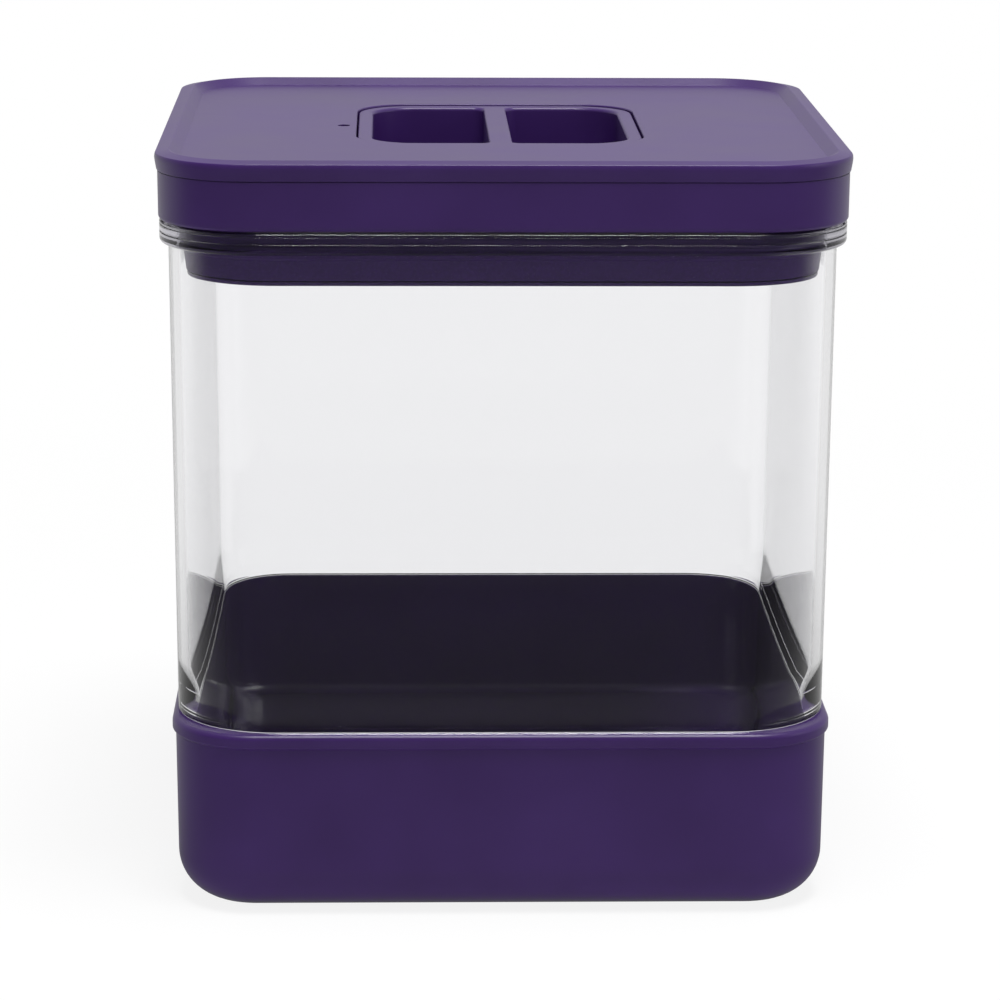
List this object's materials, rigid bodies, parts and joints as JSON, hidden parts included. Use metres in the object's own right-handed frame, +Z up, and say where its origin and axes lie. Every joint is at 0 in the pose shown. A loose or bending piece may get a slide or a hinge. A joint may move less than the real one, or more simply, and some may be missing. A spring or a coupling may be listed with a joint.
{
  "type": "airtight food container",
  "caption": "Square clear food canister in a coloured base boot, with a push-button lid whose levers squeeze a gasket against the jar wall.",
  "frame": {"origin": "centre of the face that the base boot stands on", "axes": "+Z up, +X to the container's right, -Y its front"},
  "size_m": [0.18, 0.18, 0.2005],
  "materials": {
    "shell": "fine matt moulded, deep purple",
    "clear_wall": "clear glossy moulded",
    "inner_shell": "satin moulded, deep purple",
    "seal": "soft moulded silicone, dark",
    "acetal": "satin moulded, off-white",
    "steel": "bright stainless"
  },
  "bodies": {
    "container": {"jar": "clear_wall", "base_boot": "shell"},
    "lid": {"lid_cover": "shell", "lid_frame": "inner_shell", "seal_gasket": "seal", "latch_housing": "acetal", "spring_front": "steel", "spring_rear": "steel", "screw_front_left": "steel", "screw_front_right": "steel", "screw_rear_left": "steel", "screw_rear_right": "steel", "lever_pin_front_left": "steel", "lever_pin_front_right": "steel", "lever_pin_rear_left": "steel", "lever_pin_rear_right": "steel"},
    "button": {"button": "shell", "latch_blade": "acetal"},
    "seal_plate": {"seal_plate": "inner_shell"},
    "lever_front_left": {"lever_front_left": "acetal"},
    "lever_front_right": {"lever_front_right": "acetal"},
    "lever_rear_left": {"lever_rear_left": "acetal"},
    "lever_rear_right": {"lever_rear_right": "acetal"}
  },
  "joints": [
    {"name": "lid_lift", "type": "slide", "parent": "container", "child": "lid", "axis": [0, 0, 1], "range_m": [0, 0.06]},
    {"name": "button_travel", "type": "slide", "parent": "lid", "child": "button", "axis": [0, 0, 1], "range_m": [0, 0.007], "deforming": ["spring_front", "spring_rear"]},
    {"name": "plate_travel", "type": "slide", "parent": "lid", "child": "seal_plate", "axis": [0, 0, 1], "range_m": [-0.00195, 0]},
    {"name": "lever_front_left_pivot", "type": "hinge", "parent": "lid", "child": "lever_front_left", "pos_m": [-0.0561, -0.018, 0.1861], "axis": [0, -1, 0], "range_deg": [0, 20.3]},
    {"name": "lever_front_right_pivot", "type": "hinge", "parent": "lid", "child": "lever_front_right", "pos_m": [0.0561, -0.018, 0.1861], "axis": [0, 1, 0], "range_deg": [0, 20.3]},
    {"name": "lever_rear_left_pivot", "type": "hinge", "parent": "lid", "child": "lever_rear_left", "pos_m": [-0.0561, 0.018, 0.1861], "axis": [0, -1, 0], "range_deg": [0, 20.3]},
    {"name": "lever_rear_right_pivot", "type": "hinge", "parent": "lid", "child": "lever_rear_right", "pos_m": [0.0561, 0.018, 0.1861], "axis": [0, 1, 0], "range_deg": [0, 20.3]}
  ],
  "couplings": [
    {"joint": "plate_travel", "follows": "button_travel", "ratio": -0.275},
    {"joint": "lever_front_left_pivot", "follows": "button_travel", "rad_per_m": 50.259},
    {"joint": "lever_front_right_pivot", "follows": "button_travel", "rad_per_m": 50.259},
    {"joint": "lever_rear_left_pivot", "follows": "button_travel", "rad_per_m": 50.259},
    {"joint": "lever_rear_right_pivot", "follows": "button_travel", "rad_per_m": 50.259}
  ]
}
